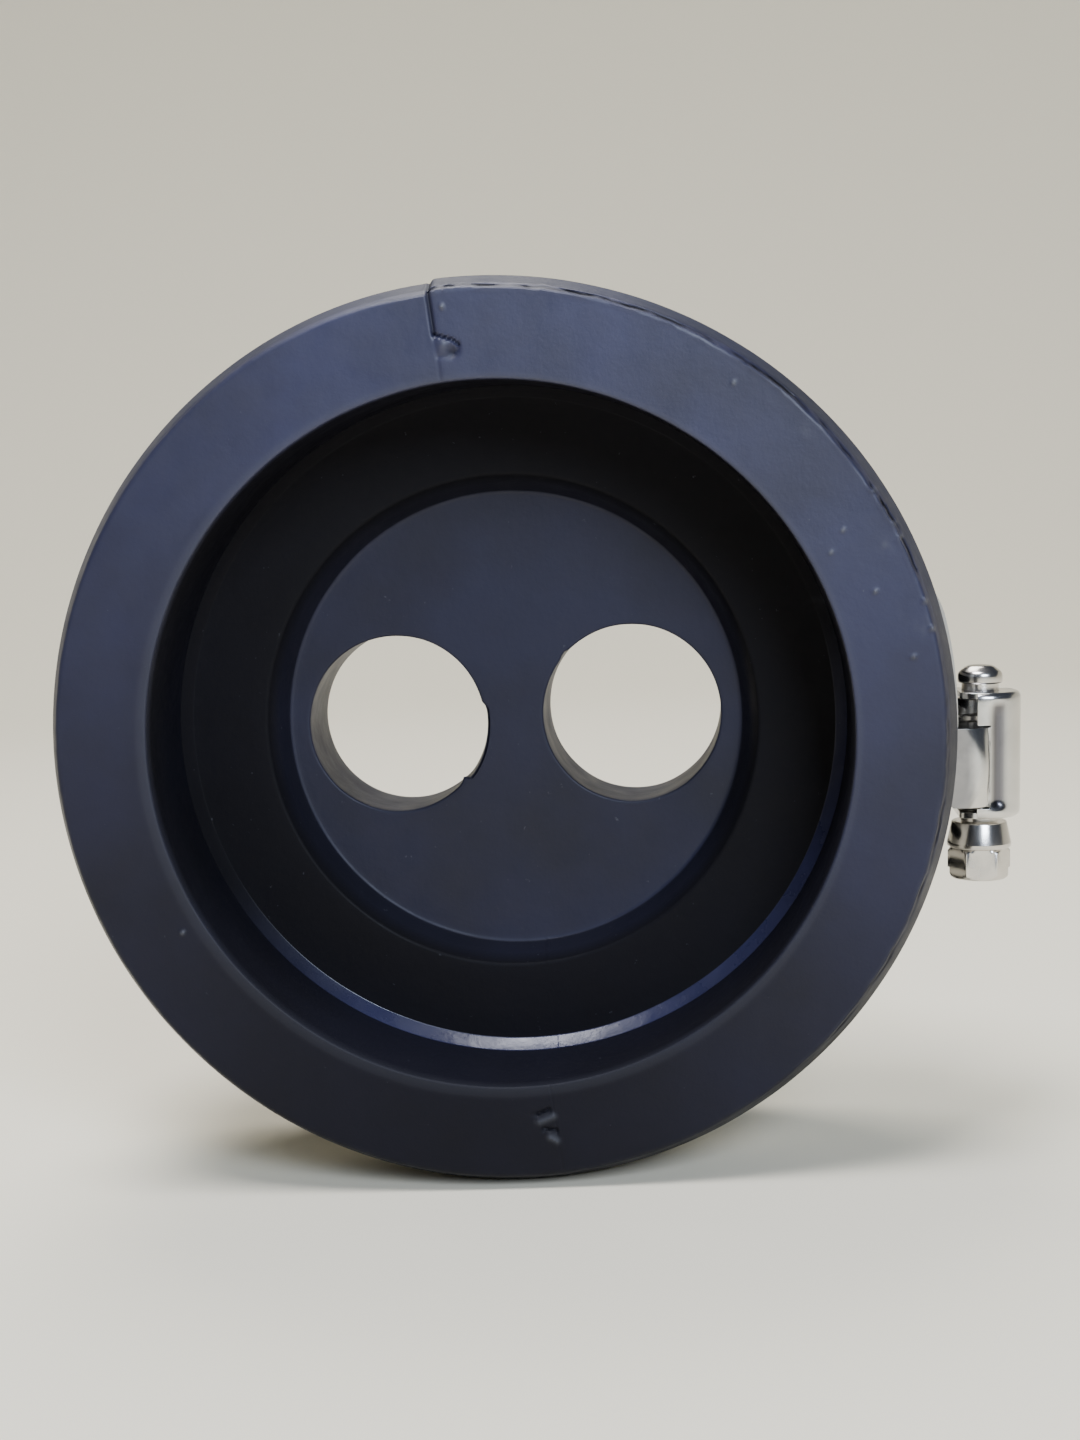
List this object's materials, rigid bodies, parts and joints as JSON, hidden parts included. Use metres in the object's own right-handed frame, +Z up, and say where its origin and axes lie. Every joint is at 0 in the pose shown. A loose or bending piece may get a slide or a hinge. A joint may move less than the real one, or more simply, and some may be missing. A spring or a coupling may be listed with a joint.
{
  "type": "pipe end seal",
  "caption": "Round moulded rubber pipe end seal with a deep casing socket, side-by-side pipe ports and a worm-drive band clamp.",
  "frame": {"origin": "centre of the casing socket's mouth, on the seal's axis", "axes": "+Y along the seal's axis from the front rim into the seal, +X along the line through the two port centres, +Z up"},
  "size_m": [0.1401, 0.043, 0.129],
  "materials": {
    "rubber": "matte moulded",
    "strap_steel": "bright rolled",
    "housing_steel": "bright pressed",
    "screw_steel": "bright turned"
  },
  "bodies": {
    "seal": {"seal_body": "rubber"},
    "clamp": {"clamp_saddle": "housing_steel", "strap_anchor_end": "strap_steel", "screw_housing": "housing_steel"},
    "strap": {"clamp_strap": "strap_steel"},
    "screw": {"worm_screw": "screw_steel"}
  },
  "joints": [
    {"name": "clamp_turn", "type": "hinge", "parent": "seal", "child": "clamp", "pos_m": [0, 0.022, 0], "axis": [0, 1, 0], "continuous": true},
    {"name": "strap_feed", "type": "hinge", "parent": "clamp", "child": "strap", "pos_m": [0, 0.022, 0], "axis": [0, 1, 0], "range_deg": [-16.69, 8.35]},
    {"name": "screw_turn", "type": "hinge", "parent": "clamp", "child": "screw", "pos_m": [0.0695, 0.022, -0.00285], "axis": [0.041, 0, 0.9992], "range_deg": [-2166, 1083]}
  ],
  "couplings": [
    {"joint": "screw_turn", "follows": "strap_feed", "ratio": 129.38}
  ]
}
